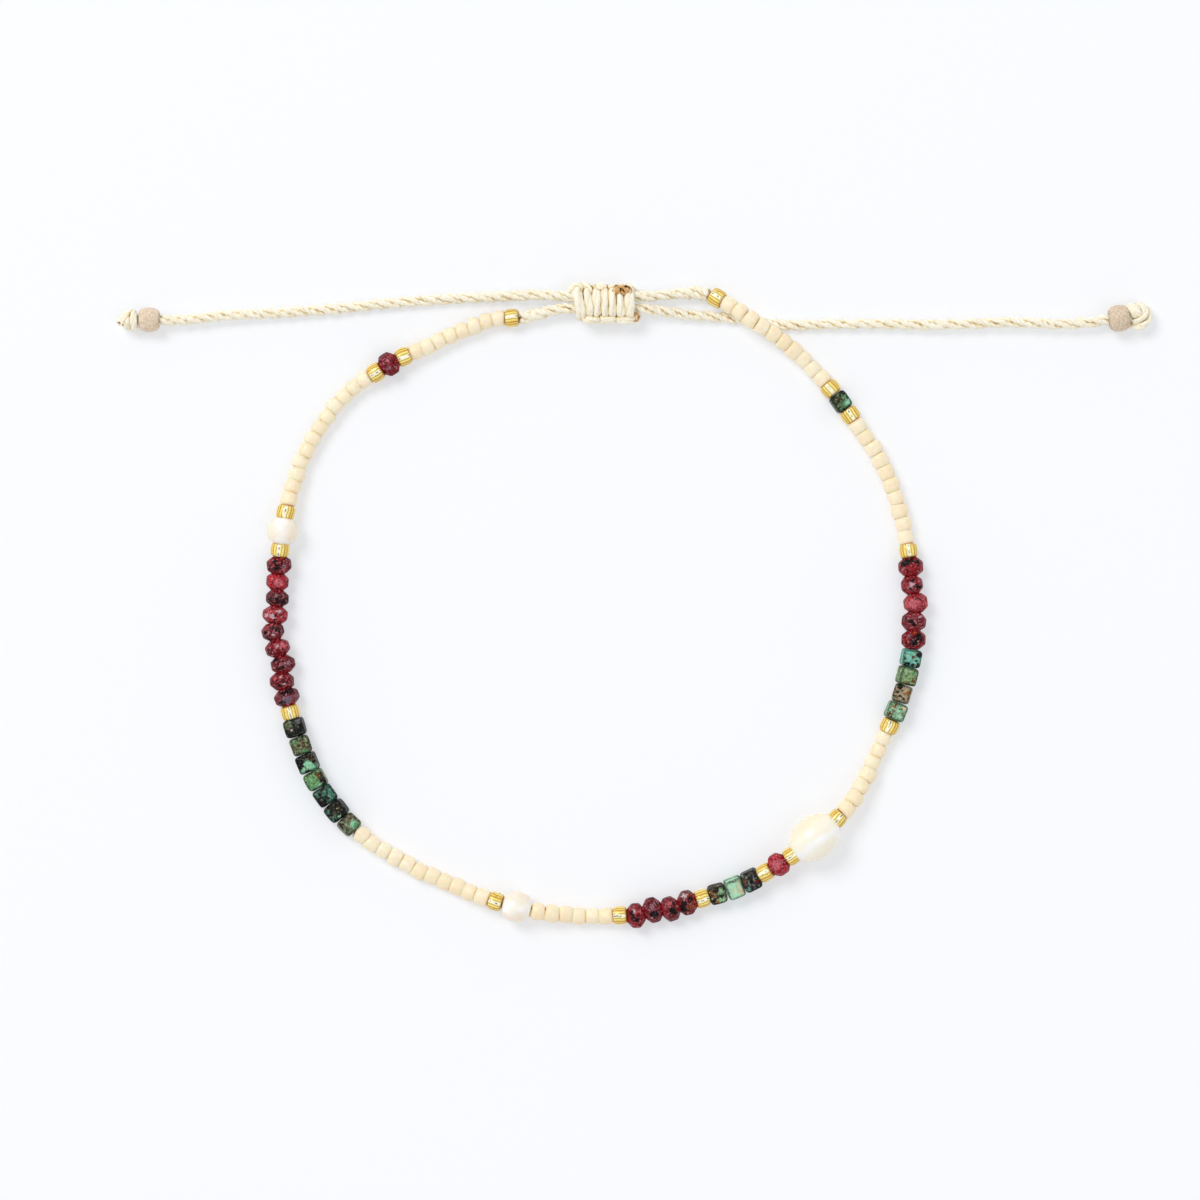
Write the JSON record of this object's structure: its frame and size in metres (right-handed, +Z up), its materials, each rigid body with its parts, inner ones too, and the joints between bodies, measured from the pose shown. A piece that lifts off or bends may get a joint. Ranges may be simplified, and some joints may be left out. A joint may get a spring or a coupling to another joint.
{
  "type": "beaded anklet",
  "caption": "Loop of seed beads, faceted stone beads, stone cubes and pearls for an ankle, closed by two waxed cords in a sliding knot with wood stopper beads.",
  "frame": {"origin": "on the surface the anklet lies on, under the middle of the box round its beads and sliding knot", "axes": "+Z up from the surface; +X along the cords, towards the cord that passes under the beads; +Y from the middle of the loop towards the sliding knot"},
  "size_m": [0.1348, 0.084, 0.0056],
  "materials": {
    "cream_glass": "opaque cream glass, satin, with a soft highlight on each bead",
    "gold_glass": "honey-gold glass with a bright silver lining in its square hole",
    "ruby_stone": "polished faceted ruby-red stone with black and pinkish grey patches",
    "turquoise_stone": "polished green and teal stone with brown and black matrix",
    "white_pearl": "white nacre with a soft lustre",
    "cream_pearl": "cream nacre with a soft lustre",
    "pale_wood": "smooth pale wood, fine grain, unvarnished",
    "waxed_cord": "cream waxed three-ply twisted cord, ends melted amber brown"
  },
  "bodies": {
    "root": {"cord_left": "waxed_cord", "cord_right": "waxed_cord", "cream_beads_1": "cream_glass", "cream_beads_2": "cream_glass", "cream_beads_3": "cream_glass", "cream_beads_4": "cream_glass", "cream_beads_5": "cream_glass", "cream_beads_6": "cream_glass", "cream_beads_7": "cream_glass", "end_knot_left": "waxed_cord", "end_knot_right": "waxed_cord", "gold_bead_01": "gold_glass", "gold_bead_02": "gold_glass", "gold_bead_03": "gold_glass", "gold_bead_04": "gold_glass", "gold_bead_05": "gold_glass", "gold_bead_06": "gold_glass", "gold_bead_07": "gold_glass", "gold_bead_08": "gold_glass", "gold_bead_09": "gold_glass", "gold_bead_10": "gold_glass", "gold_bead_11": "gold_glass", "gold_bead_12": "gold_glass", "gold_bead_13": "gold_glass", "gold_bead_14": "gold_glass", "gold_bead_15": "gold_glass", "gold_bead_16": "gold_glass", "gold_bead_17": "gold_glass", "large_pearl": "cream_pearl", "ruby_beads_1": "ruby_stone", "ruby_beads_2": "ruby_stone", "ruby_beads_3": "ruby_stone", "ruby_beads_4": "ruby_stone", "ruby_beads_5": "ruby_stone", "sliding_knot": "waxed_cord", "small_pearl_1": "white_pearl", "small_pearl_2": "white_pearl", "turquoise_beads_1": "turquoise_stone", "turquoise_beads_2": "turquoise_stone", "turquoise_beads_3": "turquoise_stone", "turquoise_beads_4": "turquoise_stone", "wood_bead_left": "pale_wood", "wood_bead_right": "pale_wood"}
  },
  "joints": []
}
